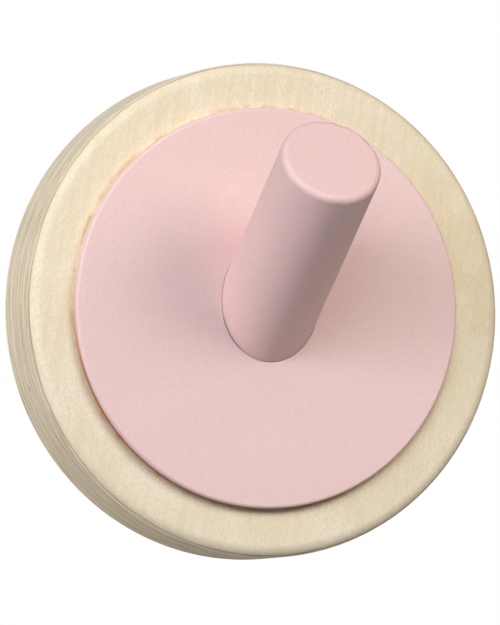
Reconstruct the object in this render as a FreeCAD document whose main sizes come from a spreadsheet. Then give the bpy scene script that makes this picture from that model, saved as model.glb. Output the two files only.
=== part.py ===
import FreeCAD, Part
import math
import os
import Sketcher

# Round wall hook: a plywood disc with a thin painted disc on its face and a round peg
# that leans upwards out of the middle. Millimetres.
# Frame: the back of the hook is the plane Y = 0 and leans on the wall, the front looks
# along -Y, Z is up, and the origin is the middle of the back.

doc = FreeCAD.newDocument("wall_hook")
sizes = doc.addObject("Spreadsheet::Sheet", "Sizes")

DRIVING_SIZES = [
    ("base_diameter", 100.0, "plywood disc"),
    ("base_thickness", 18.0, "nine plies of 2 mm"),
    ("base_front_round", 2.5, "sanded front edge"),
    ("base_back_round", 2.0, "sanded back edge"),
    ("face_diameter", 80.8, "painted disc"),
    ("face_thickness", 2.5, "board thickness"),
    ("face_edge_round", 0.3, "paint rounds the cut edge"),
    ("face_shift_side", -0.5, "the disc is glued on a little to the left"),
    ("face_shift_up", 0.2, "and a little high"),
    ("face_hole_gap", 0.4, "gap between the peg and its hole in the painted disc"),
    ("peg_diameter", 20.5, "20 mm dowel and its paint"),
    ("peg_tilt", 34.0, "degrees above square to the wall"),
    ("peg_reach", 48.5, "along the peg, from the front of the plywood to the tip"),
    ("peg_tip_round", 1.0, "rounded rim of the tip"),
    ("socket_depth", 10.0, "along the peg, behind the front of the plywood"),
    ("socket_gap", 0.1, "glue line around the peg"),
    ("peg_screw_diameter", 4.0, "over the thread"),
    ("peg_screw_length", 30.0, "under the head"),
    ("peg_screw_point", 4.0, "length of the tapered point"),
    ("peg_screw_head_diameter", 8.0, "pan head"),
    ("peg_screw_head_height", 2.6, "pan head"),
    ("peg_screw_head_round", 0.8, "rounded rim of the head"),
    ("peg_screw_sink", 3.5, "along the peg, from the back of the hook to the head"),
    ("peg_screw_gap", 0.25, "clearance hole in the plywood"),
    ("counterbore_gap", 0.5, "around the head"),
    ("thread_gap", 0.02, "between a thread and the wood that it bites"),
    ("plate_length", 38.0, "keyhole plate"),
    ("plate_width", 16.0, "keyhole plate"),
    ("plate_thickness", 1.5, "keyhole plate"),
    ("plate_corner_round", 3.0, "keyhole plate"),
    ("plate_above_socket", 2.9, "between the socket and the tip of the lower plate screw"),
    ("plate_gap", 0.2, "between the plate and its recess"),
    ("keyhole_entry_diameter", 10.0, "lets a screw head of up to 9.5 mm in"),
    ("keyhole_slot_width", 5.0, "holds a screw shank of up to 4.8 mm"),
    ("keyhole_entry_drop", 4.0, "entry below the middle of the plate"),
    ("keyhole_slot_run", 10.0, "from the entry up to the end of the slot"),
    ("head_space_depth", 4.5, "room for the wall screw's head behind the plate"),
    ("head_space_gap", 0.5, "around the entry"),
    ("plate_screw_spacing", 30.0, "between the two plate screws"),
    ("plate_screw_diameter", 3.0, "over the thread"),
    ("plate_screw_length", 10.0, "with its countersunk head"),
    ("plate_screw_point", 3.0, "length of the tapered point"),
    ("plate_screw_head_diameter", 5.6, "countersunk head"),
    ("plate_screw_head_rim", 0.2, "straight rim of the head"),
    ("plate_screw_hole_gap", 0.2, "hole in the plate around the screw"),
    ("cross_width", 0.9, "wings of the cross recess in the screw heads"),
    ("cross_depth", 1.2, "cross recess"),
    ("peg_screw_cross", 4.4, "span of the cross recess"),
    ("plate_screw_cross", 3.0, "span of the cross recess"),
]

for row, (name, number, note) in enumerate(DRIVING_SIZES, start=1):
    sizes.set(f"A{row}", name)
    sizes.set(f"B{row}", str(number))
    sizes.set(f"C{row}", note)
    sizes.setAlias(f"B{row}", name)
doc.recompute()

X_AXIS = FreeCAD.Vector(1, 0, 0)
INTO_THE_WOOD = "90"
PEG_TURN = "90 - Sizes.peg_tilt"

# Distances along the peg's axis, measured outwards from the front of the plywood.
PEG_FOOT = "-Sizes.socket_depth"
SCREW_TOP = "(Sizes.peg_screw_sink - Sizes.base_thickness / cos(Sizes.peg_tilt))"
SCREW_SEAT = f"({SCREW_TOP} + Sizes.peg_screw_head_height)"
WOOD_UNDER_HEAD = f"({PEG_FOOT} - {SCREW_SEAT})"
SCREW_BITE = f"(Sizes.peg_screw_length - {WOOD_UNDER_HEAD})"

# Heights on the back. The upper side of the leaning socket is lowest near the back, so the
# tip of the lower plate screw is what has to stay clear of it.
SOCKET_TOP_AT_SCREW_TIP = (
    "((Sizes.plate_screw_length - Sizes.base_thickness) * tan(Sizes.peg_tilt)"
    " + (Sizes.peg_diameter / 2 + Sizes.socket_gap) / cos(Sizes.peg_tilt))")
LOWER_SCREW_UP = f"({SOCKET_TOP_AT_SCREW_TIP} + Sizes.plate_above_socket)"
PLATE_UP = f"({LOWER_SCREW_UP} + Sizes.plate_screw_spacing / 2)"
ENTRY_UP = f"({PLATE_UP} - Sizes.keyhole_entry_drop)"
PLATE_SCREWS = {
    "lower": LOWER_SCREW_UP,
    "upper": f"({LOWER_SCREW_UP} + Sizes.plate_screw_spacing)",
}


def value_of(rule):
    """The number that an expression gives with the sheet's sizes."""
    result = sizes.evalExpression(rule)
    return float(getattr(result, "Value", result))


def new_body(label):
    body = doc.addObject("PartDesign::Body", label)
    body.Label = label
    return body


def place(body, side, depth, up, turn):
    """Stand a body's own origin at a point and turn it about X by an angle."""
    body.Placement = FreeCAD.Placement(FreeCAD.Vector(), FreeCAD.Rotation(X_AXIS, value_of(turn)))
    body.setExpression("Placement.Base.x", side)
    body.setExpression("Placement.Base.y", depth)
    body.setExpression("Placement.Base.z", up)
    if turn != "0":
        body.setExpression("Placement.Rotation.Angle", turn)


def add_sketch(body, name, role="XZ_Plane", across="0", along="0", out="0", lean="0"):
    """A sketch on an origin plane, moved in the plane and out of it, then leant back.

    On XZ_Plane across is +X, along is +Z and out is -Y.
    """
    sketch = body.newObject("Sketcher::SketchObject", name)
    support = next(part for part in body.Origin.OriginFeatures if part.Role == role)
    sketch.AttachmentSupport = (support, [""])
    sketch.MapMode = "FlatFace"
    turn = FreeCAD.Rotation(-X_AXIS, value_of(lean))
    sketch.AttachmentOffset = FreeCAD.Placement(FreeCAD.Vector(), turn)
    sketch.setExpression("AttachmentOffset.Base.x", across)
    sketch.setExpression("AttachmentOffset.Base.y", along)
    sketch.setExpression("AttachmentOffset.Base.z", out)
    if lean != "0":
        sketch.setExpression("AttachmentOffset.Rotation.Angle", lean)
    return sketch


def bind(sketch, kind, where, rule):
    """Add a dimension to a sketch and bind it to an expression."""
    index = sketch.addConstraint(Sketcher.Constraint(kind, *where, value_of(rule)))
    sketch.setExpression(f"Constraints[{index}]", rule)


def add_circle(sketch, radius):
    circle = Part.Circle(FreeCAD.Vector(), FreeCAD.Vector(0, 0, 1), value_of(radius))
    index = sketch.addGeometry(circle, False)
    sketch.addConstraint(Sketcher.Constraint("Coincident", index, 3, -1, 1))
    bind(sketch, "Radius", (index,), radius)


def add_outline(sketch, corners):
    """A closed outline of straight lines whose corners are pairs of expressions."""
    points = [FreeCAD.Vector(value_of(x), value_of(y), 0) for x, y in corners]
    count = len(points)
    first = sketch.GeometryCount
    for number, point in enumerate(points):
        sketch.addGeometry(Part.LineSegment(point, points[(number + 1) % count]), False)
    for number, (corner, point) in enumerate(zip(corners, points)):
        line = first + number
        before = first + (number - 1) % count
        sketch.addConstraint(Sketcher.Constraint("Coincident", before, 2, line, 1))
        for kind, axis, rule, amount in zip(("DistanceX", "DistanceY"), (-2, -1), corner, point):
            if rule == "0":
                sketch.addConstraint(Sketcher.Constraint("PointOnObject", line, 1, axis))
            elif amount > 0:
                bind(sketch, kind, (-1, 1, line, 1), rule)
            else:
                bind(sketch, kind, (line, 1, -1, 1), f"-({rule})")


def add_slot(sketch, radius, run):
    """A round-ended slot that starts at the sketch's origin and runs up its Y axis."""
    reach = value_of(run)
    side = value_of(radius)
    foot = FreeCAD.Vector()
    top = FreeCAD.Vector(0, reach, 0)
    normal = FreeCAD.Vector(0, 0, 1)
    lower_arc = Part.ArcOfCircle(Part.Circle(foot, normal, side), math.pi, 2 * math.pi)
    upper_arc = Part.ArcOfCircle(Part.Circle(top, normal, side), 0, math.pi)
    lower = sketch.addGeometry(lower_arc, False)
    upper = sketch.addGeometry(upper_arc, False)
    right = sketch.addGeometry(
        Part.LineSegment(FreeCAD.Vector(side, 0, 0), FreeCAD.Vector(side, reach, 0)), False)
    left = sketch.addGeometry(
        Part.LineSegment(FreeCAD.Vector(-side, reach, 0), FreeCAD.Vector(-side, 0, 0)), False)
    sketch.addConstraint(Sketcher.Constraint("Coincident", lower, 3, -1, 1))
    sketch.addConstraint(Sketcher.Constraint("PointOnObject", upper, 3, -2))
    sketch.addConstraint(Sketcher.Constraint("Equal", lower, upper))
    sketch.addConstraint(Sketcher.Constraint("Tangent", lower, 2, right, 1))
    sketch.addConstraint(Sketcher.Constraint("Tangent", right, 2, upper, 1))
    sketch.addConstraint(Sketcher.Constraint("Tangent", upper, 2, left, 1))
    sketch.addConstraint(Sketcher.Constraint("Tangent", left, 2, lower, 1))
    bind(sketch, "Radius", (lower,), radius)
    bind(sketch, "DistanceY", (-1, 1, upper, 3), run)


def pad(body, name, sketch, length):
    feature = body.newObject("PartDesign::Pad", name)
    feature.Profile = sketch
    feature.setExpression("Length", length)
    doc.recompute()
    return feature


def pocket(body, name, sketch, length):
    """Cut a sketch into the body, against the sketch's own normal."""
    before = body.Shape.Volume
    feature = body.newObject("PartDesign::Pocket", name)
    feature.Profile = sketch
    feature.setExpression("Length", length)
    doc.recompute()
    if body.Shape.Volume >= before:
        raise RuntimeError(f"{body.Label}: {name} removes nothing")
    return feature


def revolve(body, name, sketch):
    """Turn a half profile about its sketch's vertical axis."""
    feature = body.newObject("PartDesign::Revolution", name)
    feature.Profile = sketch
    feature.ReferenceAxis = (sketch, ["V_Axis"])
    feature.Angle = 360
    doc.recompute()
    return feature


def outer_rim(feature, height, axis):
    """Name of the largest circular edge that lies at a height along an axis."""
    rims = []
    for number, edge in enumerate(feature.Shape.Edges, start=1):
        if edge.Curve.TypeId != "Part::GeomCircle":
            continue
        if abs(edge.Curve.Center[axis] - height) < 1e-6:
            rims.append((edge.Curve.Radius, f"Edge{number}"))
    return max(rims)[1]


def corner_edges(feature, half_width):
    """Names of the straight edges that stand square to the wall at a half width."""
    names = []
    for number, edge in enumerate(feature.Shape.Edges, start=1):
        if edge.Curve.TypeId != "Part::GeomLine":
            continue
        if abs(edge.Curve.Direction.y) < 0.999:
            continue
        if abs(abs(edge.Vertexes[0].Point.x) - half_width) < 1e-6:
            names.append(f"Edge{number}")
    return names


def round_edges(body, name, feature, edges, radius):
    rounded = body.newObject("PartDesign::Fillet", name)
    rounded.Base = (feature, edges)
    rounded.setExpression("Radius", radius)
    doc.recompute()
    return rounded


def cut_on_peg_axis(body, name, radius, start, length, side="0", front="Sizes.base_thickness", up="0"):
    """A round hole on the leaning axis of the peg.

    The axis passes through the point (side, -front, up) of the body. The hole begins start
    millimetres out from there and runs towards the wall over its length.
    """
    sketch = add_sketch(
        body, f"{name}Sketch", across=side,
        along=f"{up} + ({start}) * sin(Sizes.peg_tilt)",
        out=f"{front} + ({start}) * cos(Sizes.peg_tilt)",
        lean="Sizes.peg_tilt")
    add_circle(sketch, radius)
    pocket(body, name, sketch, length)


def cut_cross(body, span):
    """The cross recess in the top of a screw head, which lies on the body's XY plane."""
    sketch = add_sketch(body, "CrossSketch", role="XY_Plane", out="Sizes.cross_depth")
    wing = f"{span} / 2"
    half = "Sizes.cross_width / 2"
    quarter = [(wing, f"-{half}"), (wing, half), (half, half)]
    corners = []
    for _ in range(4):
        corners += quarter
        quarter = [(f"-({y})", x) for x, y in quarter]
    add_outline(sketch, corners)
    pocket(body, "Cross", sketch, "Sizes.cross_depth")


def make_base_disc():
    """The plywood disc, with the peg's socket and the fixings' recesses."""
    body = new_body("base_disc")
    blank_sketch = add_sketch(body, "BlankSketch")
    add_circle(blank_sketch, "Sizes.base_diameter / 2")
    blank = pad(body, "Blank", blank_sketch, "Sizes.base_thickness")
    front = outer_rim(blank, -value_of("Sizes.base_thickness"), axis=1)
    rounded = round_edges(body, "FrontRound", blank, [front], "Sizes.base_front_round")
    back = outer_rim(rounded, 0.0, axis=1)
    round_edges(body, "BackRound", rounded, [back], "Sizes.base_back_round")

    clear_of_face = "Sizes.peg_diameter"
    cut_on_peg_axis(
        body, "PegSocket", "Sizes.peg_diameter / 2 + Sizes.socket_gap",
        clear_of_face, f"{clear_of_face} + Sizes.socket_depth")
    cut_on_peg_axis(
        body, "PegScrewHole", "Sizes.peg_screw_diameter / 2 + Sizes.peg_screw_gap",
        PEG_FOOT, WOOD_UNDER_HEAD)
    cut_on_peg_axis(
        body, "PegScrewCounterbore", "Sizes.peg_screw_head_diameter / 2 + Sizes.counterbore_gap",
        SCREW_SEAT, "Sizes.base_thickness")

    recess = cut_back_recess(
        body, "PlateRecess", "0", "Sizes.plate_thickness", PLATE_UP,
        lambda sketch: add_plate_outline(sketch, "Sizes.plate_gap"))
    corners = corner_edges(recess, value_of("Sizes.plate_width / 2 + Sizes.plate_gap"))
    round_edges(
        body, "RecessCorners", recess, corners, "Sizes.plate_corner_round + Sizes.plate_gap")
    cut_back_recess(
        body, "HeadSpace", "Sizes.plate_thickness", "Sizes.head_space_depth", ENTRY_UP,
        lambda sketch: add_slot(
            sketch, "Sizes.keyhole_entry_diameter / 2 + Sizes.head_space_gap",
            "Sizes.keyhole_slot_run"))
    for side, up in PLATE_SCREWS.items():
        cut_back_recess(
            body, f"PlateScrewHole_{side}", "Sizes.plate_thickness",
            "Sizes.plate_screw_length - Sizes.plate_thickness", up,
            lambda sketch: add_circle(
                sketch, "Sizes.plate_screw_diameter / 2 + Sizes.thread_gap"))
    return body


def cut_back_recess(body, name, start, depth, up, draw):
    """Cut a shape into the back: from a depth start, over a depth, at a height up."""
    sketch = add_sketch(body, f"{name}Sketch", along=up, out=f"{start} + {depth}")
    draw(sketch)
    return pocket(body, name, sketch, f"{start} + {depth}")


def add_plate_outline(sketch, margin):
    """The keyhole plate's rectangle, wider by a margin all round."""
    half_width = f"(Sizes.plate_width / 2 + {margin})"
    half_length = f"(Sizes.plate_length / 2 + {margin})"
    add_outline(sketch, [
        (half_width, half_length),
        (f"-{half_width}", half_length),
        (f"-{half_width}", f"-{half_length}"),
        (half_width, f"-{half_length}"),
    ])


def make_face_disc():
    """The thin painted disc; the peg passes through its leaning hole."""
    body = new_body("face_disc")
    place(body, "Sizes.face_shift_side", "-Sizes.base_thickness", "Sizes.face_shift_up", "0")
    blank_sketch = add_sketch(body, "BlankSketch")
    add_circle(blank_sketch, "Sizes.face_diameter / 2")
    blank = pad(body, "Blank", blank_sketch, "Sizes.face_thickness")
    rim = outer_rim(blank, -value_of("Sizes.face_thickness"), axis=1)
    round_edges(body, "EdgeRound", blank, [rim], "Sizes.face_edge_round")
    clear_of_face = "Sizes.peg_diameter"
    cut_on_peg_axis(
        body, "PegHole", "Sizes.peg_diameter / 2 + Sizes.face_hole_gap",
        clear_of_face, f"2 * {clear_of_face}",
        side="-Sizes.face_shift_side", front="0", up="-Sizes.face_shift_up")
    return body


def make_peg():
    """The leaning dowel: its own Z axis is its length, from the front of the plywood."""
    body = new_body("peg")
    place(body, "0", "-Sizes.base_thickness", "0", PEG_TURN)
    foot_sketch = add_sketch(body, "FootSketch", role="XY_Plane", out=PEG_FOOT)
    add_circle(foot_sketch, "Sizes.peg_diameter / 2")
    dowel = pad(body, "Dowel", foot_sketch, "Sizes.socket_depth + Sizes.peg_reach")
    tip = outer_rim(dowel, value_of("Sizes.peg_reach"), axis=2)
    round_edges(body, "TipRound", dowel, [tip], "Sizes.peg_tip_round")
    pilot_sketch = add_sketch(body, "PilotSketch", role="XY_Plane", out=f"{PEG_FOOT} + {SCREW_BITE}")
    add_circle(pilot_sketch, "Sizes.peg_screw_diameter / 2 + Sizes.thread_gap")
    pocket(body, "ScrewPilot", pilot_sketch, SCREW_BITE)
    return body


def make_peg_screw():
    """Pan-head wood screw that pulls the peg into its socket from the back."""
    body = new_body("peg_screw")
    place(
        body, "0", f"-Sizes.base_thickness - ({SCREW_TOP}) * cos(Sizes.peg_tilt)",
        f"({SCREW_TOP}) * sin(Sizes.peg_tilt)", PEG_TURN)
    height = "Sizes.peg_screw_head_height"
    end = f"{height} + Sizes.peg_screw_length"
    profile = add_sketch(body, "ProfileSketch")
    add_outline(profile, [
        ("0", "0"),
        ("Sizes.peg_screw_head_diameter / 2", "0"),
        ("Sizes.peg_screw_head_diameter / 2", height),
        ("Sizes.peg_screw_diameter / 2", height),
        ("Sizes.peg_screw_diameter / 2", f"{end} - Sizes.peg_screw_point"),
        ("0", end),
    ])
    turned = revolve(body, "Turned", profile)
    rim = outer_rim(turned, 0.0, axis=2)
    round_edges(body, "HeadRound", turned, [rim], "Sizes.peg_screw_head_round")
    cut_cross(body, "Sizes.peg_screw_cross")
    return body


def make_keyhole_plate():
    """Steel plate let into the back; a wall screw's head goes in below and slides up."""
    body = new_body("keyhole_plate")
    place(body, "0", "0", PLATE_UP, "0")
    blank_sketch = add_sketch(body, "BlankSketch")
    add_plate_outline(blank_sketch, "0")
    blank = pad(body, "Blank", blank_sketch, "Sizes.plate_thickness")
    corners = corner_edges(blank, value_of("Sizes.plate_width / 2"))
    round_edges(body, "Corners", blank, corners, "Sizes.plate_corner_round")

    entry_sketch = add_sketch(
        body, "EntrySketch", along="-Sizes.keyhole_entry_drop", out="Sizes.plate_thickness")
    add_circle(entry_sketch, "Sizes.keyhole_entry_diameter / 2")
    pocket(body, "Entry", entry_sketch, "Sizes.plate_thickness")
    slot_sketch = add_sketch(
        body, "SlotSketch", along="-Sizes.keyhole_entry_drop", out="Sizes.plate_thickness")
    add_slot(slot_sketch, "Sizes.keyhole_slot_width / 2", "Sizes.keyhole_slot_run")
    pocket(body, "Slot", slot_sketch, "Sizes.plate_thickness")

    hole_radius = "(Sizes.plate_screw_diameter / 2 + Sizes.plate_screw_hole_gap)"
    for side, up in PLATE_SCREWS.items():
        hole_sketch = add_sketch(
            body, f"ScrewHoleSketch_{side}", along=f"{up} - {PLATE_UP}",
            out="Sizes.plate_thickness")
        add_circle(hole_sketch, hole_radius)
        hole = pocket(body, f"ScrewHole_{side}", hole_sketch, "Sizes.plate_thickness")
    rims = [
        f"Edge{number}" for number, edge in enumerate(hole.Shape.Edges, start=1)
        if edge.Curve.TypeId == "Part::GeomCircle"
        and abs(edge.Curve.Radius - value_of(hole_radius)) < 1e-6
        and abs(edge.Curve.Center.y) < 1e-6]
    sinks = body.newObject("PartDesign::Chamfer", "Countersinks")
    sinks.Base = (hole, rims)
    sinks.setExpression(
        "Size", f"Sizes.plate_screw_head_diameter / 2 + Sizes.plate_screw_head_rim - {hole_radius}")
    doc.recompute()
    return body


def make_plate_screw(side, up):
    """Countersunk wood screw that holds the keyhole plate, flush with its face."""
    body = new_body(f"plate_screw_{side}")
    place(body, "0", "0", up, INTO_THE_WOOD)
    radius = "Sizes.plate_screw_diameter / 2"
    head_radius = "Sizes.plate_screw_head_diameter / 2"
    rim = "Sizes.plate_screw_head_rim"
    profile = add_sketch(body, "ProfileSketch")
    add_outline(profile, [
        ("0", "0"),
        (head_radius, "0"),
        (head_radius, rim),
        (radius, f"{rim} + {head_radius} - {radius}"),
        (radius, "Sizes.plate_screw_length - Sizes.plate_screw_point"),
        ("0", "Sizes.plate_screw_length"),
    ])
    revolve(body, "Turned", profile)
    cut_cross(body, "Sizes.plate_screw_cross")
    return body


def check(piece):
    """Stop at anything that failed to build, before a file is written."""
    if piece.Shape.isNull() or not piece.Shape.isValid():
        raise RuntimeError(f"{piece.Label}: bad shape")
    if len(piece.Shape.Solids) != 1:
        raise RuntimeError(f"{piece.Label}: {len(piece.Shape.Solids)} solids instead of one")


pieces = [
    make_base_disc(),
    make_face_disc(),
    make_peg(),
    make_peg_screw(),
    make_keyhole_plate(),
]
for side, up in PLATE_SCREWS.items():
    pieces.append(make_plate_screw(side, up))
doc.recompute()

for item in doc.Objects:
    if {"Invalid", "Error"} & set(item.State):
        raise RuntimeError(f"{item.Label}: {item.State}")
for piece in pieces:
    check(piece)

os.makedirs("parts", exist_ok=True)
for piece in pieces:
    piece.Shape.exportStep(f"parts/{piece.Label}.step")
    print(f"{piece.Label}: {piece.Shape.Volume:.1f} mm3")
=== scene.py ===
import bpy
import math
from mathutils import Matrix, Vector


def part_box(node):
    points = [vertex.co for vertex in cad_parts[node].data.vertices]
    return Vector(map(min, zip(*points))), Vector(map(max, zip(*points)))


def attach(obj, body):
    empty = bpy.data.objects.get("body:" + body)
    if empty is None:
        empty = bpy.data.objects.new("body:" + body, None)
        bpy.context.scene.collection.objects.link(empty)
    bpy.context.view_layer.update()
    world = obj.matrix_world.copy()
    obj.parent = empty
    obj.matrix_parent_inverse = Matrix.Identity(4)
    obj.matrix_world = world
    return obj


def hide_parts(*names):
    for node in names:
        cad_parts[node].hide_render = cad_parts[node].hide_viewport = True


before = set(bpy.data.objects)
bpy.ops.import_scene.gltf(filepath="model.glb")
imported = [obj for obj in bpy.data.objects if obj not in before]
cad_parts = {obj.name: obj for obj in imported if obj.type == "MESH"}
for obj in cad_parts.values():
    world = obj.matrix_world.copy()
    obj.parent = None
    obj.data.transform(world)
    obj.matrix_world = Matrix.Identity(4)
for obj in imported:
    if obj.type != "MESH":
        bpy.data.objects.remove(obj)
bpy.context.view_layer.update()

# ---------------------------------------------------------------------------
# Camera, floor and studio light. The hook hangs in the air in front of a white room, seen
# from a little to the left of its front and from just below its middle.
# ---------------------------------------------------------------------------
MM = 0.001
base_low, base_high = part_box("base_disc")
base_radius = (base_high.x - base_low.x) / 2
base_thickness = base_high.y - base_low.y
base_front = base_low.y

view_azimuth = math.radians(-18.87)
view_elevation = math.radians(-3.60)
view_distance = 1.5386
view_aim = Vector((-3.49 * MM, base_front, -0.71 * MM))
view_centre = Vector((0, base_front, 0))
towards_viewer = Vector((
    math.sin(view_azimuth) * math.cos(view_elevation),
    -math.cos(view_azimuth) * math.cos(view_elevation),
    math.sin(view_elevation)))
camera_data = bpy.data.cameras.new("studio_camera")
camera_data.lens = 439.8
camera_data.sensor_width = 36
camera = bpy.data.objects.new("studio_camera", camera_data)
camera.location = view_centre + towards_viewer * view_distance
camera.rotation_euler = (camera.location - view_aim).to_track_quat("Z", "Y").to_euler()
bpy.context.scene.collection.objects.link(camera)
bpy.context.scene.camera = camera

bpy.ops.object.select_all(action="DESELECT")
bpy.ops.mesh.primitive_plane_add(size=6, location=(0, 0, -1.00))
floor = bpy.context.object
floor.name = "studio_floor"
floor_paint = bpy.data.materials.new("studio_floor_paint")
floor_paint.use_nodes = True
floor_shader = floor_paint.node_tree.nodes["Principled BSDF"]
floor_grey = (0.80, 0.80, 0.79, 1)
floor_shader.inputs["Base Color"].default_value = floor_grey
floor_shader.inputs["Roughness"].default_value = 0.9
floor_nodes = floor_paint.node_tree.nodes
floor_links = floor_paint.node_tree.links
floor_glow = floor_nodes.new("ShaderNodeEmission")
floor_glow.inputs["Color"].default_value = floor_grey
floor_seen = floor_nodes.new("ShaderNodeLightPath")
floor_mix = floor_nodes.new("ShaderNodeMixShader")
floor_links.new(floor_seen.outputs["Is Camera Ray"], floor_mix.inputs["Fac"])
floor_links.new(floor_shader.outputs["BSDF"], floor_mix.inputs[1])
floor_links.new(floor_glow.outputs["Emission"], floor_mix.inputs[2])
floor_links.new(floor_mix.outputs["Shader"], floor_nodes["Material Output"].inputs["Surface"])
floor.data.materials.append(floor_paint)

scene = bpy.context.scene
scene.view_settings.view_transform = "Standard"
room = bpy.data.worlds.new("white_room")
room.use_nodes = True
room_nodes = room.node_tree.nodes
room_links = room.node_tree.links
room_light = room_nodes["Background"]
room_light.inputs["Color"].default_value = (1, 1, 1, 1)
room_light.inputs["Strength"].default_value = 0.02
white_card = room_nodes.new("ShaderNodeBackground")
white_card.inputs["Color"].default_value = (1, 1, 1, 1)
white_card.inputs["Strength"].default_value = 1.0
seen_directly = room_nodes.new("ShaderNodeLightPath")
either = room_nodes.new("ShaderNodeMixShader")
room_links.new(seen_directly.outputs["Is Camera Ray"], either.inputs["Fac"])
room_links.new(room_light.outputs["Background"], either.inputs[1])
room_links.new(white_card.outputs["Background"], either.inputs[2])
room_links.new(either.outputs["Shader"], room_nodes["World Output"].inputs["Surface"])
scene.world = room
lamp_distance = 1.2


def add_softbox(name, azimuth, elevation, width, height, power, colour):
    """A rectangular studio lamp turned to face the hook; azimuth and elevation 0 is in front."""
    lamp_data = bpy.data.lights.new(name, "AREA")
    lamp_data.shape = "RECTANGLE"
    lamp_data.size = width
    lamp_data.size_y = height
    lamp_data.energy = power
    lamp_data.color = colour
    lamp = bpy.data.objects.new(name, lamp_data)
    around = math.radians(azimuth)
    above = math.radians(elevation)
    lamp.location = view_centre + lamp_distance * Vector((
        math.sin(around) * math.cos(above), -math.cos(around) * math.cos(above), math.sin(above)))
    lamp.rotation_euler = (lamp.location - view_centre).to_track_quat("Z", "Y").to_euler()
    lamp.visible_camera = False
    scene.collection.objects.link(lamp)


add_softbox("left_softbox", -35, 23, 0.95, 0.40, 7.1, (0.935, 1.0, 1.06))
add_softbox("side_softbox", -84, 6, 0.40, 0.40, 6.3, (1.03, 0.99, 1.00))
add_softbox("top_softbox", 3, 34, 0.75, 0.60, 4.1, (1.0, 1.0, 1.0))
add_softbox("right_softbox", 29, 26, 0.45, 0.45, 4.9, (1.135, 0.99, 0.88))
add_softbox("rear_softbox", 170, 10, 1.50, 0.90, 9.5, (1.0, 1.0, 1.0))


# ---------------------------------------------------------------------------
# Plywood disc: nine birch plies glued crosswise and sawn into a disc, with both rims
# sanded round. The peg's socket and its screw's counterbore lean; the keyhole plate lies
# in a recess in the back, over a deeper slot for the wall screw's head.
# ---------------------------------------------------------------------------
front_round = 2.5 * MM
back_round = 2.0 * MM
ply_thicknesses = [1.2, 2.0, 1.7, 2.2, 2.1, 2.1, 2.2, 2.0, 2.5]
glue_line_half_width = 0.08 * MM
glue_line_depth = 0.035 * MM
cut_snap = 0.001 * MM
peg_tilt = math.radians(34)
peg_direction = Vector((0, -math.cos(peg_tilt), math.sin(peg_tilt)))


def edit(piece):
    """Go into edit mode with nothing selected."""
    bpy.ops.object.select_all(action="DESELECT")
    bpy.context.view_layer.objects.active = piece
    piece.select_set(True)
    bpy.ops.object.mode_set(mode="EDIT")
    bpy.ops.mesh.select_all(action="DESELECT")


def select_edges(piece, wanted):
    """Select the edges whose two ends both satisfy a test, then go back into edit mode."""
    bpy.ops.mesh.select_mode(type="EDGE")
    bpy.ops.mesh.select_all(action="DESELECT")
    bpy.ops.object.mode_set(mode="OBJECT")
    points = piece.data.vertices
    for edge in piece.data.edges:
        edge.select = all(wanted(points[end].co) for end in edge.vertices)
    bpy.ops.object.mode_set(mode="EDIT")


def leave_edit():
    """Go back to object mode."""
    bpy.ops.object.mode_set(mode="OBJECT")


def add_round_bar(name, radius, length, middle, direction, sides):
    """A closed cylinder whose place and turn are in its mesh."""
    bpy.ops.object.select_all(action="DESELECT")
    bpy.ops.mesh.primitive_cylinder_add(
        vertices=sides, radius=radius, depth=length, location=middle,
        rotation=direction.to_track_quat("Z", "X").to_euler())
    bar = bpy.context.object
    bar.name = name
    bpy.ops.object.transform_apply(location=True, rotation=True, scale=True)
    return bar


def cut_away(piece, tool):
    """Take one shape out of a piece and throw the tool away."""
    bpy.ops.object.select_all(action="DESELECT")
    bpy.context.view_layer.objects.active = piece
    piece.select_set(True)
    cut = piece.modifiers.new("cut", "BOOLEAN")
    cut.operation = "DIFFERENCE"
    cut.solver = "EXACT"
    cut.object = tool
    bpy.ops.object.modifier_apply(modifier=cut.name)
    bpy.data.objects.remove(tool)


def smooth(piece, crease_degrees):
    """Smooth shading that keeps the flat faces flat and the sharp edges sharp."""
    bpy.ops.object.select_all(action="DESELECT")
    bpy.context.view_layer.objects.active = piece
    piece.select_set(True)
    bpy.ops.object.shade_smooth_by_angle(angle=math.radians(crease_degrees))
    even = piece.modifiers.new("even", "WEIGHTED_NORMAL")
    even.keep_sharp = True
    bpy.ops.object.modifier_apply(modifier=even.name)


plywood = add_round_bar(
    "plywood_disc", base_radius, base_thickness,
    Vector((0, base_front + base_thickness / 2, 0)), Vector((0, -1, 0)), 360)
edit(plywood)
select_edges(plywood, lambda co: co.y < base_front + MM)
bpy.ops.mesh.bevel(offset=front_round, segments=14, profile=0.5, affect="EDGES")
select_edges(plywood, lambda co: co.y > base_high.y - MM)
bpy.ops.mesh.bevel(offset=back_round, segments=12, profile=0.5, affect="EDGES")

glue_lines = []
depth = 0.0
for ply in ply_thicknesses[:-1]:
    depth += ply * MM
    glue_lines.append(base_front + depth)
for glue_line in glue_lines:
    for step in (-glue_line_half_width, 0, glue_line_half_width):
        bpy.ops.mesh.select_all(action="SELECT")
        bpy.ops.mesh.bisect(
            plane_co=(0, glue_line + step, 0), plane_no=(0, 1, 0), threshold=cut_snap)
shrink = 1 - glue_line_depth / base_radius
for glue_line in glue_lines:
    select_edges(plywood, lambda co: abs(co.y - glue_line) < glue_line_half_width / 4)
    bpy.ops.transform.resize(
        value=(shrink, 1, shrink), center_override=(0, glue_line, 0))
leave_edit()


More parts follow.
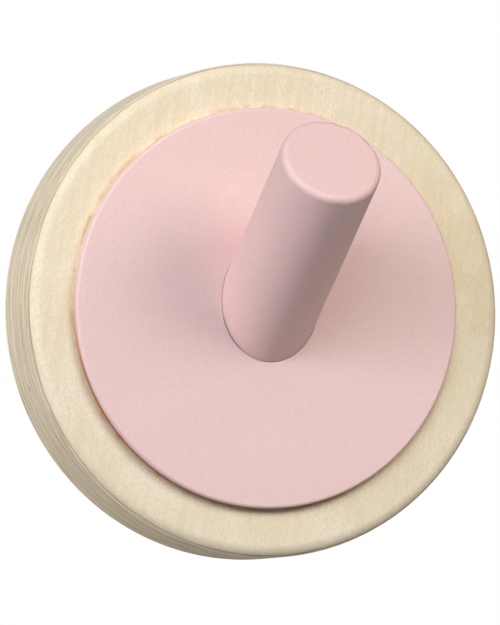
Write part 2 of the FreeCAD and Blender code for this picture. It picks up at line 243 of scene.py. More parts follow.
plate_low, plate_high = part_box("keyhole_plate")
plate_width = plate_high.x - plate_low.x
plate_length = plate_high.z - plate_low.z
plate_thickness = plate_high.y - plate_low.y
plate_middle = (plate_low + plate_high) / 2
plate_gap = 0.2 * MM
plate_corner = 3.0 * MM
entry_radius = 5.0 * MM
entry_drop = 4.0 * MM
entry_height = plate_middle.z - entry_drop
slot_radius = 2.5 * MM
slot_run = 10.0 * MM
head_space_depth = 4.5 * MM
head_space_gap = 0.5 * MM
peg_radius = 10.25 * MM
socket_gap = 0.1 * MM
socket_depth = 10.0 * MM
peg_root = Vector((0, base_front, 0))


def add_rounded_block(name, width, thickness, length, corner, middle):
    """A block that stands on its end, with its four long corners rounded."""
    bpy.ops.object.select_all(action="DESELECT")
    bpy.ops.mesh.primitive_cube_add(size=1, location=middle, scale=(width, thickness, length))
    block = bpy.context.object
    block.name = name
    bpy.ops.object.transform_apply(location=True, rotation=True, scale=True)
    edit(block)
    bpy.ops.mesh.select_mode(type="EDGE")
    leave_edit()
    points = block.data.vertices
    for edge in block.data.edges:
        start, end = (points[index].co for index in edge.vertices)
        edge.select = abs(start.y - end.y) > thickness / 2
    bpy.ops.object.mode_set(mode="EDIT")
    bpy.ops.mesh.bevel(offset=corner, segments=10, profile=0.5, affect="EDGES")
    leave_edit()
    return block


def add_slot_bar(name, radius, thickness, middle_y, low, high):
    """A round-ended bar that stands upright, from one end's centre to the other's."""
    just_short_of_meeting = 0.9999
    return add_rounded_block(
        name, 2 * radius, thickness, high - low + 2 * radius, radius * just_short_of_meeting,
        Vector((0, middle_y, (low + high) / 2)))


past_the_back = 1.0 * MM
past_the_front = 30 * MM
cut_away(plywood, add_rounded_block(
    "recess_tool", plate_width + 2 * plate_gap, plate_thickness + past_the_back,
    plate_length + 2 * plate_gap, plate_corner + plate_gap,
    Vector((0, (past_the_back - plate_thickness) / 2, plate_middle.z))))
cut_away(plywood, add_slot_bar(
    "head_space_tool", entry_radius + head_space_gap, head_space_depth + plate_thickness,
    -(head_space_depth + plate_thickness) / 2 - 0.01 * MM, entry_height, entry_height + slot_run))
socket_length = socket_depth + past_the_front
cut_away(plywood, add_round_bar(
    "socket_tool", peg_radius + socket_gap, socket_length,
    peg_root + peg_direction * (socket_length / 2 - socket_depth), peg_direction, 96))
screw_head_radius = 4.0 * MM
screw_head_height = 2.6 * MM
screw_sink = 3.5 * MM
screw_top = screw_sink - base_thickness / math.cos(peg_tilt)
screw_seat = screw_top + screw_head_height
counterbore_length = 12 * MM
counterbore_gap = 0.5 * MM
screw_hole_radius = 2.25 * MM
cut_away(plywood, add_round_bar(
    "counterbore_tool", screw_head_radius + counterbore_gap, counterbore_length,
    peg_root + peg_direction * (screw_seat - counterbore_length / 2), peg_direction, 64))
cut_away(plywood, add_round_bar(
    "screw_hole_tool", screw_hole_radius, -socket_depth - screw_seat + MM,
    peg_root + peg_direction * (screw_seat - socket_depth) / 2, peg_direction, 48))
plate_screw_radius = 1.5 * MM
plate_screw_length = 10.0 * MM
thread_gap = 0.02 * MM
plate_screw_spread = 15 * MM
plate_screw_heights = [plate_middle.z - plate_screw_spread, plate_middle.z + plate_screw_spread]
for height in plate_screw_heights:
    cut_away(plywood, add_round_bar(
        "plate_screw_hole_tool", plate_screw_radius + thread_gap, plate_screw_length + MM,
        Vector((0, -(plate_screw_length + thread_gap - MM) / 2, height)), Vector((0, -1, 0)), 32))
smooth(plywood, 32)


def wire(material, source, socket):
    """Feed an input from another node's output, or give it a plain value."""
    if isinstance(source, bpy.types.NodeSocket):
        material.node_tree.links.new(source, socket)
    else:
        socket.default_value = source


def reckon(material, operation, *sources):
    """Arithmetic on pattern values."""
    node = material.node_tree.nodes.new("ShaderNodeMath")
    node.operation = operation
    for source, socket in zip(sources, node.inputs):
        wire(material, source, socket)
    return node.outputs["Value"]


def fade(material, value, start, end):
    """0 up to start, 1 from end on, and smooth between them."""
    node = material.node_tree.nodes.new("ShaderNodeMapRange")
    node.interpolation_type = "SMOOTHSTEP"
    wire(material, value, node.inputs["Value"])
    node.inputs["From Min"].default_value = start
    node.inputs["From Max"].default_value = end
    return node.outputs["Result"]


def blend_colours(material, amount, first, second):
    """The first colour where amount is 0, the second where it is 1."""
    node = material.node_tree.nodes.new("ShaderNodeMix")
    node.data_type = "RGBA"
    wire(material, amount, node.inputs["Factor"])
    wire(material, first, node.inputs[6])
    wire(material, second, node.inputs[7])
    return node.outputs[2]


def tint_where(material, mask, strength, under, over):
    """Blend towards another colour where a mask shows, up to a strength."""
    return blend_colours(material, reckon(material, "MULTIPLY", mask, strength), under, over)


def distance(material, across, along_it):
    """How far a point is from a centre, from how far it lies each way."""
    return reckon(material, "SQRT", reckon(
        material, "ADD", reckon(material, "MULTIPLY", across, across),
        reckon(material, "MULTIPLY", along_it, along_it)))


def grain(material, place, size, detail=2.0):
    """Cloudy noise whose patches measure size = (x, y, z) in metres."""
    node = material.node_tree.nodes.new("ShaderNodeMapping")
    wire(material, place, node.inputs["Vector"])
    node.inputs["Scale"].default_value = [1 / part for part in size]
    noise = material.node_tree.nodes.new("ShaderNodeTexNoise")
    noise.inputs["Scale"].default_value = 1.0
    noise.inputs["Detail"].default_value = detail
    wire(material, node.outputs["Vector"], noise.inputs["Vector"])
    return noise.outputs["Fac"]


def new_finish(name):
    """An empty material with its shader, its place on the piece and that place's parts."""
    material = bpy.data.materials.new(name)
    material.use_nodes = True
    nodes = material.node_tree.nodes
    place = nodes.new("ShaderNodeTexCoord").outputs["Object"]
    apart = nodes.new("ShaderNodeSeparateXYZ")
    wire(material, place, apart.inputs["Vector"])
    return material, nodes["Principled BSDF"], place, apart.outputs


birch, birch_shader, place, along = new_finish("birch_plywood")
grain_lean = math.radians(-9)
turned = birch.node_tree.nodes.new("ShaderNodeMapping")
turned.inputs["Rotation"].default_value = (0, grain_lean, 0)
wire(birch, place, turned.inputs["Vector"])
veneer_place = turned.outputs["Vector"]
veneer_along = birch.node_tree.nodes.new("ShaderNodeSeparateXYZ")
wire(birch, veneer_place, veneer_along.inputs["Vector"])

most_wobble = 0.7 * MM
ply_wobble = reckon(birch, "SUBTRACT", grain(birch, place, (7 * MM, 3 * MM, 7 * MM)), 0.5)
depth_in = reckon(birch, "ADD", reckon(birch, "SUBTRACT", along["Y"], base_front),
                  reckon(birch, "MULTIPLY", ply_wobble, most_wobble))
share_in = reckon(birch, "DIVIDE", depth_in, base_thickness)
ply_ramp = birch.node_tree.nodes.new("ShaderNodeValToRGB")
glue_ramp = birch.node_tree.nodes.new("ShaderNodeValToRGB")
for ramp in (ply_ramp, glue_ramp):
    ramp.color_ramp.elements[1].position = 0.999
    ramp.color_ramp.elements[1].color = (0, 0, 0, 1)
edge_softness = 0.005
glue_half_share = 0.012
first_line_strength = 1.0
inner_line_strength = 0.55
for number, glue_line in enumerate(glue_lines):
    share = (glue_line - base_front) / base_thickness
    crosswise = number % 2 == 0
    before = ply_ramp.color_ramp.elements.new(share - edge_softness)
    after = ply_ramp.color_ramp.elements.new(share + edge_softness)
    tone_before, tone_after = (0.0, 1.0) if crosswise else (0.75, 0.0)
    before.color = (tone_before, tone_before, tone_before, 1)
    after.color = (tone_after, tone_after, tone_after, 1)
    strength = first_line_strength if number == 0 else inner_line_strength
    for offset, tone in ((-glue_half_share, 0.0), (0.0, strength), (glue_half_share, 0.0)):
        line = glue_ramp.color_ramp.elements.new(share + offset)
        line.color = (tone, tone, tone, 1)
wire(birch, share_in, ply_ramp.inputs["Fac"])
wire(birch, share_in, glue_ramp.inputs["Fac"])
crosswise_ply = ply_ramp.outputs["Color"]

across_square = reckon(birch, "POWER", reckon(birch, "ABSOLUTE", veneer_along.outputs["X"]), 2.0)
with_square = reckon(birch, "POWER", reckon(birch, "ABSOLUTE", veneer_along.outputs["Z"]), 2.0)
facing_grain = reckon(birch, "DIVIDE", with_square, reckon(birch, "ADD", across_square, with_square))
end_grain = reckon(birch, "ABSOLUTE", reckon(birch, "SUBTRACT", crosswise_ply, facing_grain))
on_the_rim = reckon(
    birch, "MULTIPLY", fade(birch, along["Y"], base_front + 0.7 * MM, base_front + 1.3 * MM),
    fade(birch, along["Y"], 0, -0.4 * MM))
end_grain_shown = reckon(birch, "MULTIPLY", fade(birch, end_grain, 0.05, 0.95), on_the_rim)

broad_figure = grain(birch, veneer_place, (1.3 * MM, 1.3 * MM, 24 * MM), 4.0)
fine_fibres = grain(birch, veneer_place, (0.25 * MM, 0.25 * MM, 4 * MM), 3.0)
fuzz = grain(birch, place, (0.42 * MM, 0.42 * MM, 0.60 * MM), 3.0)
rim_fibres = grain(birch, place, (12 * MM, 0.40 * MM, 12 * MM), 4.0)
rim_specks = grain(birch, place, (2.4 * MM, 0.42 * MM, 2.4 * MM), 3.0)
clouds = grain(birch, place, (11 * MM, 11 * MM, 15 * MM), 2.0)
flecks = grain(birch, veneer_place, (0.35 * MM, 0.35 * MM, 1.5 * MM), 1.0)
pores = grain(birch, veneer_place, (0.16 * MM, 0.16 * MM, 1.1 * MM), 0.0)

pale_wood = (0.885, 0.792, 0.618, 1)
warm_wood = (0.790, 0.680, 0.480, 1)
fleck_white = (0.920, 0.860, 0.730, 1)
pore_brown = (0.46, 0.34, 0.20, 1)
long_grain_edge = (0.960, 0.840, 0.630, 1)
end_grain_edge = (0.835, 0.705, 0.490, 1)
streak_brown = (0.47, 0.36, 0.21, 1)
glue_brown = (0.36, 0.25, 0.13, 1)
char_and_shadow_brown = (0.56, 0.33, 0.14, 1)
right_side_warm_tint = (0.765, 0.630, 0.380, 1)
gap_brown = (0.24, 0.12, 0.05, 1)
face_wood = blend_colours(birch, fade(birch, broad_figure, 0.22, 0.80), pale_wood, warm_wood)
# The first tint paints the face warmer and darker towards its right side, from 24 to 44 mm out; the
# rest are the veneer's figure, fibres, clouds, fuzz, flecks and pores.
for pattern, low, high, strength, colour in (
        (along["X"], 24 * MM, 44 * MM, 0.60, right_side_warm_tint),
        (fine_fibres, 0.45, 0.75, 0.30, warm_wood),
        (clouds, 0.42, 0.68, 0.45, fleck_white),
        (fuzz, 0.44, 0.62, 0.75, warm_wood),
        (flecks, 0.60, 0.76, 0.50, fleck_white),
        (pores, 0.72, 0.82, 0.26, pore_brown)):
    face_wood = tint_where(birch, fade(birch, pattern, low, high), strength, face_wood, colour)

# The laser left a faint brown halo on the veneer around the painted disc, and singed spots
# close around it; the halo is also painted shadow from the disc, darkest below it.
face_low, face_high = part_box("face_disc")
face_middle = (face_low + face_high) / 2
face_radius = (face_high.x - face_low.x) / 2
from_disc_middle = distance(
    birch, reckon(birch, "SUBTRACT", along["X"], face_middle.x),
    reckon(birch, "SUBTRACT", along["Z"], face_middle.z))
on_the_front = fade(birch, along["Y"], base_front + MM, base_front)
scorch_and_shadow_halo = reckon(
    birch, "MULTIPLY", fade(birch, from_disc_middle, face_radius + 1.4 * MM, face_radius - 0.2 * MM),
    fade(birch, along["Z"], 12 * MM, -38 * MM))
scorch_and_shadow_halo = reckon(birch, "MULTIPLY", scorch_and_shadow_halo, fade(birch, clouds, 0.25, 0.60))
scorch_and_shadow_halo = reckon(birch, "MULTIPLY", scorch_and_shadow_halo, on_the_front)
# Scorch and painted shadow: the halo browns the veneer most below the disc.
face_wood = tint_where(birch, scorch_and_shadow_halo, 0.60, face_wood, char_and_shadow_brown)
spots = grain(birch, place, (3 * MM, 3 * MM, 3 * MM), 3.0)
singed = reckon(
    birch, "MULTIPLY", fade(birch, from_disc_middle, face_radius + 1.1 * MM, face_radius + 0.2 * MM),
    fade(birch, spots, 0.42, 0.66))
singed = reckon(birch, "MULTIPLY", singed, on_the_front)
face_wood = tint_where(birch, singed, 0.55, face_wood, char_and_shadow_brown)

rim_wood = blend_colours(birch, end_grain_shown, face_wood, end_grain_edge)
long_grain_shown = reckon(
    birch, "MULTIPLY", reckon(birch, "SUBTRACT", 1.0, fade(birch, end_grain, 0.05, 0.95)), on_the_rim)
rim_wood = tint_where(birch, long_grain_shown, 0.70, rim_wood, long_grain_edge)
streaks = reckon(birch, "MULTIPLY", fade(birch, rim_fibres, 0.44, 0.66), on_the_rim)
rim_wood = tint_where(birch, streaks, 0.62, rim_wood, streak_brown)
speckle = reckon(birch, "MULTIPLY", fade(birch, rim_specks, 0.54, 0.68), on_the_rim)
rim_wood = tint_where(birch, speckle, 0.55, rim_wood, fleck_white)
glue_shown = reckon(birch, "MULTIPLY", glue_ramp.outputs["Color"], on_the_rim)
wood_colour = tint_where(birch, glue_shown, 0.92, rim_wood, glue_brown)

# A small brown gap in one of the inner plies, on the left below the middle.
gap_middle = Vector((-47.25 * MM, base_front + 8.6 * MM, -16.4 * MM))
gap_half_width = 0.28 * MM
gap_half_length = 1.15 * MM
gap_far = distance(
    birch,
    reckon(birch, "DIVIDE", reckon(birch, "SUBTRACT", along["Y"], gap_middle.y), gap_half_width),
    reckon(birch, "DIVIDE", reckon(birch, "SUBTRACT", along["Z"], gap_middle.z), gap_half_length))
gap_here = reckon(
    birch, "MULTIPLY", fade(birch, gap_far, 1.0, 0.5), fade(birch, along["X"], -40 * MM, -44 * MM))
wood_colour = tint_where(birch, gap_here, 0.85, wood_colour, gap_brown)
wire(birch, wood_colour, birch_shader.inputs["Base Color"])
birch_shader.inputs["Roughness"].default_value = 0.66
birch_shader.inputs["Specular IOR Level"].default_value = 0.25
wood_bump = birch.node_tree.nodes.new("ShaderNodeBump")
wood_bump.inputs["Strength"].default_value = 0.45
wood_bump.inputs["Distance"].default_value = 0.05 * MM
rim_relief = reckon(birch, "MULTIPLY", reckon(birch, "ADD", rim_fibres, rim_specks), on_the_rim)
wood_relief = reckon(birch, "SUBTRACT", reckon(birch, "ADD", fine_fibres, rim_relief), gap_here)
wire(birch, wood_relief, wood_bump.inputs["Height"])
wire(birch, wood_bump.outputs["Normal"], birch_shader.inputs["Normal"])
plywood.data.materials.clear()
plywood.data.materials.append(birch)
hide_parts("base_disc")
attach(plywood, "root")


# ---------------------------------------------------------------------------
# Painted disc: thin board cut out with a laser, which scorched its edge brown, and
# sprayed pink on its face. It is glued to the plywood; the peg goes through its leaning
# hole with a small gap.
# ---------------------------------------------------------------------------
face_thickness = face_high.y - face_low.y
face_lip = 0.6 * MM
painted_disc = add_round_bar(
    "painted_disc", face_radius, face_thickness, face_middle, Vector((0, -1, 0)), 360)
edit(painted_disc)
select_edges(painted_disc, lambda co: co.y < face_low.y + 0.1 * MM)
bpy.ops.mesh.bevel(offset=face_lip, segments=8, profile=0.5, affect="EDGES")
leave_edit()
peg_hole_gap = 0.07 * MM
peg_hole_shift = Vector((-0.015 * MM, 0, -0.05 * MM))
hole_edge_round = 0.08 * MM
outside_the_hole = 25 * MM
cut_away(painted_disc, add_round_bar(
    "peg_hole_tool", peg_radius + peg_hole_gap, past_the_front, peg_root + peg_hole_shift,
    peg_direction, 180))
edit(painted_disc)
select_edges(painted_disc, lambda co: co.y < face_low.y + 0.01 * MM and
             Vector((co.x, co.z)).length < outside_the_hole)
bpy.ops.mesh.bevel(offset=hole_edge_round, segments=4, profile=0.5, affect="EDGES")
leave_edit()
smooth(painted_disc, 32)


def add_paint(name, colour):
    """Sprayed satin paint: fine grain, faint clouds and a few dust specks."""
    paint, shader, place, along = new_finish(name)
    mottle = grain(paint, place, (0.30 * MM, 0.30 * MM, 0.30 * MM), 2.0)
    clouds = grain(paint, place, (12 * MM, 12 * MM, 12 * MM), 2.0)
    deeper = tuple(part * 0.94 for part in colour) + (1,)
    lighter = tuple(min(part * 1.035, 1) for part in colour) + (1,)
    tint = blend_colours(paint, fade(paint, mottle, 0.3, 0.7), deeper, lighter)
    tint = tint_where(paint, fade(paint, clouds, 0.35, 0.65), 0.25, tint, deeper)
    dust = paint.node_tree.nodes.new("ShaderNodeTexVoronoi")
    dust.inputs["Scale"].default_value = 1 / (7 * MM)
    wire(paint, place, dust.inputs["Vector"])
    dust_pick = paint.node_tree.nodes.new("ShaderNodeSeparateColor")
    wire(paint, dust.outputs["Color"], dust_pick.inputs["Color"])
    dust_spot = reckon(
        paint, "MULTIPLY", fade(paint, dust.outputs["Distance"], 0.028, 0.014),
        reckon(paint, "GREATER_THAN", dust_pick.outputs["Red"], 0.55))
    tint = tint_where(paint, dust_spot, 0.45, tint, (0.42, 0.25, 0.24, 1))
    shader.inputs["Roughness"].default_value = 0.52
    shader.inputs["Specular IOR Level"].default_value = 0.4
    bump = paint.node_tree.nodes.new("ShaderNodeBump")
    bump.inputs["Strength"].default_value = 0.30
    bump.inputs["Distance"].default_value = 0.03 * MM
    wire(paint, mottle, bump.inputs["Height"])
    wire(paint, bump.outputs["Normal"], shader.inputs["Normal"])
    return paint, shader, tint, place, along


pink = (0.86, 0.625, 0.605)
lip_cool_light = (0.74, 0.56, 0.62, 1)
lit_scorch = (0.82, 0.60, 0.46, 1)
shaded_scorch = (0.44, 0.165, 0.08, 1)
peg_gap_shadow_dark = (0.16, 0.09, 0.12, 1)
disc_paint, disc_shader, disc_tint, place, along = add_paint("pink_disc_paint", pink)
edge_wobble = reckon(
    disc_paint, "MULTIPLY",
    reckon(disc_paint, "SUBTRACT", grain(disc_paint, place, (3 * MM, 3 * MM, 3 * MM)), 0.5), 0.5 * MM)
cut_depth = reckon(disc_paint, "ADD", along["Y"], edge_wobble)
scorched = fade(disc_paint, cut_depth, face_low.y + 0.9 * MM, face_low.y + 1.3 * MM)
# Painted shade: the scorched edge runs from a lit pale brown at the top to a shaded dark brown at the
# bottom, where the edge faces down; the brown of the scorch itself is real.
edge_shade_downwards = fade(disc_paint, along["Z"], 12 * MM, -18 * MM)
scorch_lit_to_shaded = blend_colours(disc_paint, edge_shade_downwards, lit_scorch, shaded_scorch)
# Painted light: the rounded lip and the edge below it take a lilac tint for the cool side light that
# they catch.
lip_light_catch = fade(disc_paint, along["Y"], face_low.y + 0.02 * MM, face_low.y + 0.30 * MM)
disc_tint = tint_where(disc_paint, lip_light_catch, 0.7, disc_tint, lip_cool_light)
disc_tint = blend_colours(disc_paint, scorched, disc_tint, scorch_lit_to_shaded)

# Painted shadow: a dark line along the hole's edge at the lower left, beside the leaning peg,
# where the gap around the peg lies in shade.
across_peg = reckon(
    disc_paint, "ADD",
    reckon(disc_paint, "MULTIPLY", reckon(
        disc_paint, "SUBTRACT", along["Y"], peg_root.y), math.sin(peg_tilt)),
    reckon(disc_paint, "MULTIPLY", reckon(
        disc_paint, "SUBTRACT", along["Z"], peg_root.z), math.cos(peg_tilt)))
from_peg_axis = distance(disc_paint, along["X"], across_peg)
to_lower_left = reckon(
    disc_paint, "ADD", reckon(disc_paint, "MULTIPLY", along["X"], -0.82),
    reckon(disc_paint, "MULTIPLY", across_peg, -0.57))
peg_gap_shadow = reckon(
    disc_paint, "MULTIPLY",
    fade(disc_paint, from_peg_axis, peg_radius + 0.38 * MM, peg_radius + 0.18 * MM),
    fade(disc_paint, to_lower_left, 0.93 * peg_radius, 1.00 * peg_radius))
disc_tint = tint_where(disc_paint, peg_gap_shadow, 0.75, disc_tint, peg_gap_shadow_dark)
wire(disc_paint, disc_tint, disc_shader.inputs["Base Color"])
painted_disc.data.materials.clear()
painted_disc.data.materials.append(disc_paint)
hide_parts("face_disc")
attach(painted_disc, "root")


# ---------------------------------------------------------------------------
# Peg: a dowel cut square, its tip rounded over by hand, painted pink and glued into its
# leaning socket. A screw from the back bites into its foot.
# ---------------------------------------------------------------------------
peg_reach = 48.5 * MM
peg_length = peg_reach + socket_depth
peg_tip_round = 1.35 * MM
rings_behind_tip = (2.0 * MM, 3.0 * MM, 4.5 * MM, 7.0 * MM)
sanded_length = 3.5 * MM
sanded_depth = 1.2 * MM
sanding_share = 0.8
peg_screw_length = 30.0 * MM
peg_screw_radius = 2.0 * MM
dowel = add_round_bar(
    "painted_peg", peg_radius, peg_length,
    peg_root + peg_direction * (peg_reach - peg_length / 2), peg_direction, 180)
edit(dowel)
select_edges(dowel, lambda co: (co - peg_root).dot(peg_direction) > peg_reach - 0.1 * MM)
bpy.ops.mesh.bevel(offset=peg_tip_round, segments=12, profile=0.5, affect="EDGES")
for back in rings_behind_tip:
    bpy.ops.mesh.select_all(action="SELECT")
    bpy.ops.mesh.bisect(
        plane_co=peg_root + peg_direction * (peg_reach - back), plane_no=peg_direction,
        threshold=cut_snap)
leave_edit()
tip_edge = dowel.vertex_groups.new(name="tip_edge")
tip_edge.add([point.index for point in dowel.data.vertices
              if (point.co - peg_root).dot(peg_direction) > peg_reach - sanded_length
              and (point.co - peg_root).cross(peg_direction).length > peg_radius - sanded_depth],
             sanding_share, "REPLACE")
hand_sanding = bpy.data.textures.new("hand_sanding", "CLOUDS")
hand_sanding.noise_scale = 3.0 * MM
uneven = dowel.modifiers.new("uneven", "DISPLACE")
uneven.texture = hand_sanding
uneven.texture_coords = "LOCAL"
uneven.strength = 0.22 * MM
uneven.mid_level = 0.52
uneven.vertex_group = tip_edge.name
bpy.ops.object.select_all(action="DESELECT")
bpy.context.view_layer.objects.active = dowel
dowel.select_set(True)
bpy.ops.object.modifier_apply(modifier=uneven.name)
dowel.vertex_groups.clear()
screw_bite = screw_seat + peg_screw_length
cut_away(dowel, add_round_bar(
    "pilot_hole_tool", peg_screw_radius + thread_gap, screw_bite + socket_depth + MM,
    peg_root + peg_direction * (screw_bite - socket_depth - MM) / 2, peg_direction, 48))
smooth(dowel, 32)
peg_pink = (0.825, 0.573, 0.562)
peg_paint, peg_shader, peg_tint = add_paint("pink_peg_paint", peg_pink)[:3]
wire(peg_paint, peg_tint, peg_shader.inputs["Base Color"])
dowel.data.materials.clear()
dowel.data.materials.append(peg_paint)
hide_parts("peg")
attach(dowel, "root")


# ---------------------------------------------------------------------------
# Keyhole plate: a stamped strip of zinc-plated steel, let in flush with the back. A wall
# screw's head goes in through the round hole, then the hook slides down on its shank.
# ---------------------------------------------------------------------------
plate_screw_gap = 0.2 * MM
plate_screw_head_radius = 2.8 * MM
plate_screw_head_rim = 0.2 * MM
stamped_edge = 0.15 * MM
keyhole_plate = add_rounded_block(
    "stamped_plate", plate_width, plate_thickness, plate_length, plate_corner, plate_middle)
cut_away(keyhole_plate, add_round_bar(
    "entry_tool", entry_radius, 4 * plate_thickness, Vector((0, plate_middle.y, entry_height)),
    Vector((0, -1, 0)), 96))
cut_away(keyhole_plate, add_slot_bar(
    "slot_tool", slot_radius, 4 * plate_thickness, plate_middle.y, entry_height,
    entry_height + slot_run))
for height in plate_screw_heights:
    bpy.ops.object.select_all(action="DESELECT")
    sink_depth = 2 * plate_thickness
    bpy.ops.mesh.primitive_cone_add(
        vertices=64, radius1=plate_screw_radius + plate_screw_gap,
        radius2=plate_screw_radius + plate_screw_gap, depth=4 * plate_thickness,
        location=(0, plate_middle.y, height), rotation=(math.radians(90), 0, 0))
    cut_away(keyhole_plate, bpy.context.object)
    bpy.ops.object.select_all(action="DESELECT")
    wide = plate_screw_head_radius + plate_screw_head_rim
    bpy.ops.mesh.primitive_cone_add(
        vertices=64, radius1=wide + MM, radius2=wide + MM - sink_depth, depth=sink_depth,
        location=(0, MM - sink_depth / 2, height), rotation=(math.radians(90), 0, 0))
    cut_away(keyhole_plate, bpy.context.object)
edit(keyhole_plate)
bpy.ops.mesh.select_mode(type="VERT")
bpy.ops.mesh.select_all(action="SELECT")
bpy.ops.mesh.remove_doubles(threshold=0.02 * MM)
leave_edit()
burr = keyhole_plate.modifiers.new("burr", "BEVEL")
burr.width = stamped_edge
burr.segments = 3
burr.limit_method = "ANGLE"
burr.angle_limit = math.radians(60)
bpy.ops.object.modifier_apply(modifier=burr.name)
edit(keyhole_plate)
bpy.ops.mesh.select_all(action="SELECT")
bpy.ops.mesh.remove_doubles(threshold=0.002 * MM)
leave_edit()
smooth(keyhole_plate, 32)


def add_zinc(name, colour, roughness):
    """Zinc plating: cloudy spangle, patches that are duller, and fine scratches."""
    zinc, shader, place = new_finish(name)[:3]
    spangle = grain(zinc, place, (1.6 * MM, 1.6 * MM, 1.6 * MM), 3.0)
    dull = grain(zinc, place, (0.5 * MM, 0.5 * MM, 0.5 * MM), 2.0)
    scratches = grain(zinc, place, (4.0 * MM, 4.0 * MM, 0.06 * MM), 1.0)
    darker = tuple(part * 0.80 for part in colour) + (1,)
    lighter = tuple(part * 1.08 for part in colour) + (1,)
    tint = blend_colours(zinc, fade(zinc, spangle, 0.35, 0.65), darker, lighter)
    tint = tint_where(zinc, fade(zinc, dull, 0.5, 0.75), 0.35, tint, (0.42, 0.42, 0.41, 1))
    wire(zinc, tint, shader.inputs["Base Color"])
    shader.inputs["Metallic"].default_value = 1.0
    rougher = reckon(zinc, "MULTIPLY", fade(zinc, dull, 0.35, 0.70), 0.18)
    wire(zinc, reckon(zinc, "ADD", rougher, roughness), shader.inputs["Roughness"])
    bump = zinc.node_tree.nodes.new("ShaderNodeBump")
    bump.inputs["Strength"].default_value = 0.25
    bump.inputs["Distance"].default_value = 0.02 * MM
    wire(zinc, reckon(zinc, "ADD", scratches, spangle), bump.inputs["Height"])
    wire(zinc, bump.outputs["Normal"], shader.inputs["Normal"])
    return zinc


keyhole_plate.data.materials.clear()
keyhole_plate.data.materials.append(add_zinc("zinc_plate_finish", (0.50, 0.51, 0.53), 0.54))
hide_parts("keyhole_plate")
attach(keyhole_plate, "root")


# ---------------------------------------------------------------------------
# Screws: a pan-head screw sunk into the back pulls the peg into its socket, and two small
# countersunk ones hold the plate. Zinc-plated steel, cold-headed, threads rolled, with a
# cross recess in each head.
# ---------------------------------------------------------------------------
screw_finish = add_zinc("zinc_screw_finish", (0.58, 0.57, 0.54), 0.44)
cross_width = 0.9 * MM
cross_depth = 1.2 * MM


def join_on(piece, other):
    """Make one closed solid of two that overlap."""
    bpy.ops.object.select_all(action="DESELECT")
    bpy.context.view_layer.objects.active = piece
    piece.select_set(True)
    both = piece.modifiers.new("both", "BOOLEAN")
    both.operation = "UNION"
    both.solver = "EXACT"
    both.object = other
    bpy.ops.object.modifier_apply(modifier=both.name)
    bpy.data.objects.remove(other)


def select_points(piece, wanted):
    """Select the vertices that satisfy a test, then go back into edit mode."""
    bpy.ops.mesh.select_mode(type="VERT")
    bpy.ops.mesh.select_all(action="DESELECT")
    bpy.ops.object.mode_set(mode="OBJECT")
    for point in piece.data.vertices:
        point.select = wanted(point.co)
    bpy.ops.object.mode_set(mode="EDIT")


def add_thread(radius, core, pitch, start, end):
    """A rolled thread along +Z: one ridge swept up a helix, then cut off square."""
    bpy.ops.object.select_all(action="DESELECT")
    first_turn = start - 1.5 * pitch
    bpy.ops.mesh.primitive_plane_add(
        size=pitch, location=(core - pitch / 2, 0, first_turn), rotation=(math.radians(90), 0, 0))
    thread = bpy.context.object
    bpy.ops.object.transform_apply(location=True, rotation=True, scale=True)
    edit(thread)
    select_points(thread, lambda co: co.x < core - pitch / 2)
    bpy.ops.mesh.delete(type="VERT")
    bpy.ops.mesh.select_all(action="SELECT")
    bpy.ops.mesh.subdivide(number_cuts=4)
    select_points(thread, lambda co: abs(co.z - first_turn) < 0.15 * pitch)
    bpy.ops.transform.translate(value=(radius - core, 0, 0))
    leave_edit()
    helix = thread.modifiers.new("helix", "SCREW")
    helix.axis = "Z"
    helix.screw_offset = pitch
    helix.iterations = math.ceil((end - start) / pitch) + 3
    helix.steps = 24
    helix.render_steps = 24
    bpy.ops.object.modifier_apply(modifier=helix.name)
    edit(thread)
    bpy.ops.mesh.select_mode(type="VERT")
    bpy.ops.mesh.select_all(action="SELECT")
    bpy.ops.mesh.remove_doubles(threshold=0.005 * MM)
    for height, upper_side in ((start, False), (end, True)):
        bpy.ops.mesh.select_all(action="SELECT")
        bpy.ops.mesh.bisect(
            plane_co=(0, 0, height), plane_no=(0, 0, 1), use_fill=True,
            clear_inner=not upper_side, clear_outer=upper_side, threshold=cut_snap)
    bpy.ops.mesh.select_all(action="SELECT")
    bpy.ops.mesh.normals_make_consistent(inside=False)
    leave_edit()
    return thread


def finish_screw(head, core, thread, point_start, tip, cross_span):
    """Put neck, thread and point on a head that stands at the origin, and punch its cross."""
    straight_up = Vector((0, 0, 1))
    neck_radius = 0.97 * core
    point_radius = 0.95 * core
    sunk_in = 0.4 * MM
    cross_taper = 0.62
    neck_end = thread.bound_box[0][2] + 0.5 * MM
    neck_start = 0.6 * MM + cross_depth
    join_on(head, add_round_bar(
        "neck", neck_radius, neck_end - neck_start,
        Vector((0, 0, (neck_start + neck_end) / 2)), straight_up, 24))
    join_on(head, thread)
    bpy.ops.object.select_all(action="DESELECT")
    bpy.ops.mesh.primitive_cone_add(
        vertices=24, radius1=point_radius, radius2=0, depth=tip - point_start + sunk_in,
        location=(0, 0, (tip + point_start - sunk_in) / 2))
    join_on(head, bpy.context.object)
    for turn in (0, math.radians(90)):
        bpy.ops.object.select_all(action="DESELECT")
        bpy.ops.mesh.primitive_cube_add(size=1, scale=(cross_span, cross_width, 2 * cross_depth))
        punch = bpy.context.object
        punch.rotation_euler = (0, 0, turn)
        bpy.ops.object.transform_apply(location=True, rotation=True, scale=True)
        edit(punch)
        select_points(punch, lambda co: co.z > 0)
        bpy.ops.transform.resize(
            value=(cross_taper, cross_taper, 1), center_override=(0, 0, cross_depth))
        leave_edit()
        cut_away(head, punch)
    smooth(head, 30)


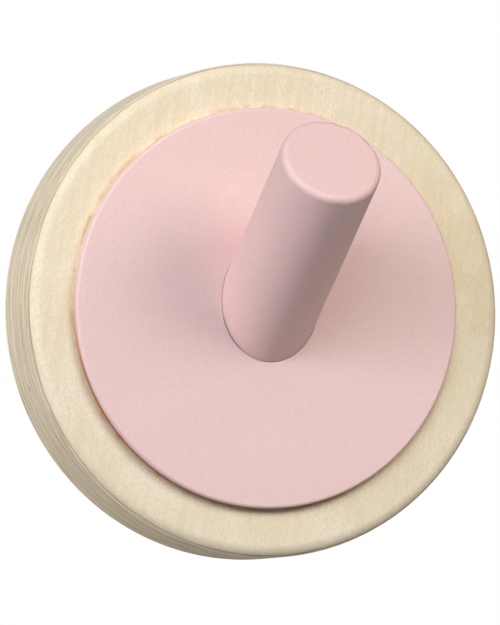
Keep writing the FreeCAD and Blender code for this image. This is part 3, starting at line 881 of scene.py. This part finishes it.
def drive_in(screw, top, direction, node):
    """Put a screw in its hole, give it the screw finish and hide the part it stands for."""
    screw.matrix_world = (
        Matrix.Translation(top) @ direction.to_track_quat("Z", "Y").to_matrix().to_4x4())
    bpy.ops.object.select_all(action="DESELECT")
    bpy.context.view_layer.objects.active = screw
    screw.select_set(True)
    bpy.ops.object.transform_apply(location=True, rotation=True, scale=True)
    screw.data.materials.clear()
    screw.data.materials.append(screw_finish)
    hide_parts(node)
    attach(screw, "root")


pan_head = add_round_bar(
    "pan_head_screw", screw_head_radius, screw_head_height, Vector((0, 0, screw_head_height / 2)),
    Vector((0, 0, 1)), 64)
edit(pan_head)
select_edges(pan_head, lambda co: co.z < 0.1 * MM)
bpy.ops.mesh.bevel(offset=0.8 * MM, segments=6, profile=0.5, affect="EDGES")
leave_edit()
pan_tip = screw_head_height + peg_screw_length
pan_point = pan_tip - 4.0 * MM
pan_core = 1.35 * MM
pan_pitch = 1.8 * MM
pan_cross = 4.4 * MM
finish_screw(
    pan_head, pan_core,
    add_thread(peg_screw_radius, pan_core, pan_pitch, screw_head_height + 2 * MM, pan_point),
    pan_point, pan_tip, pan_cross)
drive_in(pan_head, peg_root + peg_direction * screw_top, peg_direction, "peg_screw")

sunk_core = 1.0 * MM
sunk_pitch = 1.2 * MM
sunk_cross = 3.0 * MM
sunk_height = plate_screw_head_rim + plate_screw_head_radius - plate_screw_radius
sunk_head = add_round_bar(
    "lower_plate_screw", plate_screw_head_radius, sunk_height, Vector((0, 0, sunk_height / 2)),
    Vector((0, 0, 1)), 48)
edit(sunk_head)
bpy.ops.mesh.select_all(action="SELECT")
bpy.ops.mesh.bisect(
    plane_co=(0, 0, plate_screw_head_rim), plane_no=(0, 0, 1), threshold=cut_snap)
select_points(sunk_head, lambda co: co.z > plate_screw_head_rim + 0.1 * MM)
to_shank = plate_screw_radius / plate_screw_head_radius
bpy.ops.transform.resize(value=(to_shank, to_shank, 1), center_override=(0, 0, sunk_height))
leave_edit()
sunk_point = plate_screw_length - 3.0 * MM
finish_screw(
    sunk_head, sunk_core,
    add_thread(plate_screw_radius, sunk_core, sunk_pitch, sunk_height + 0.8 * MM, sunk_point),
    sunk_point, plate_screw_length, sunk_cross)
upper_screw = sunk_head.copy()
upper_screw.name = "upper_plate_screw"
upper_screw.data = sunk_head.data.copy()
scene.collection.objects.link(upper_screw)
into_the_wood = Vector((0, -1, 0))
drive_in(sunk_head, Vector((0, 0, plate_screw_heights[0])), into_the_wood,
         "plate_screw_lower")
drive_in(upper_screw, Vector((0, 0, plate_screw_heights[1])), into_the_wood,
         "plate_screw_upper")
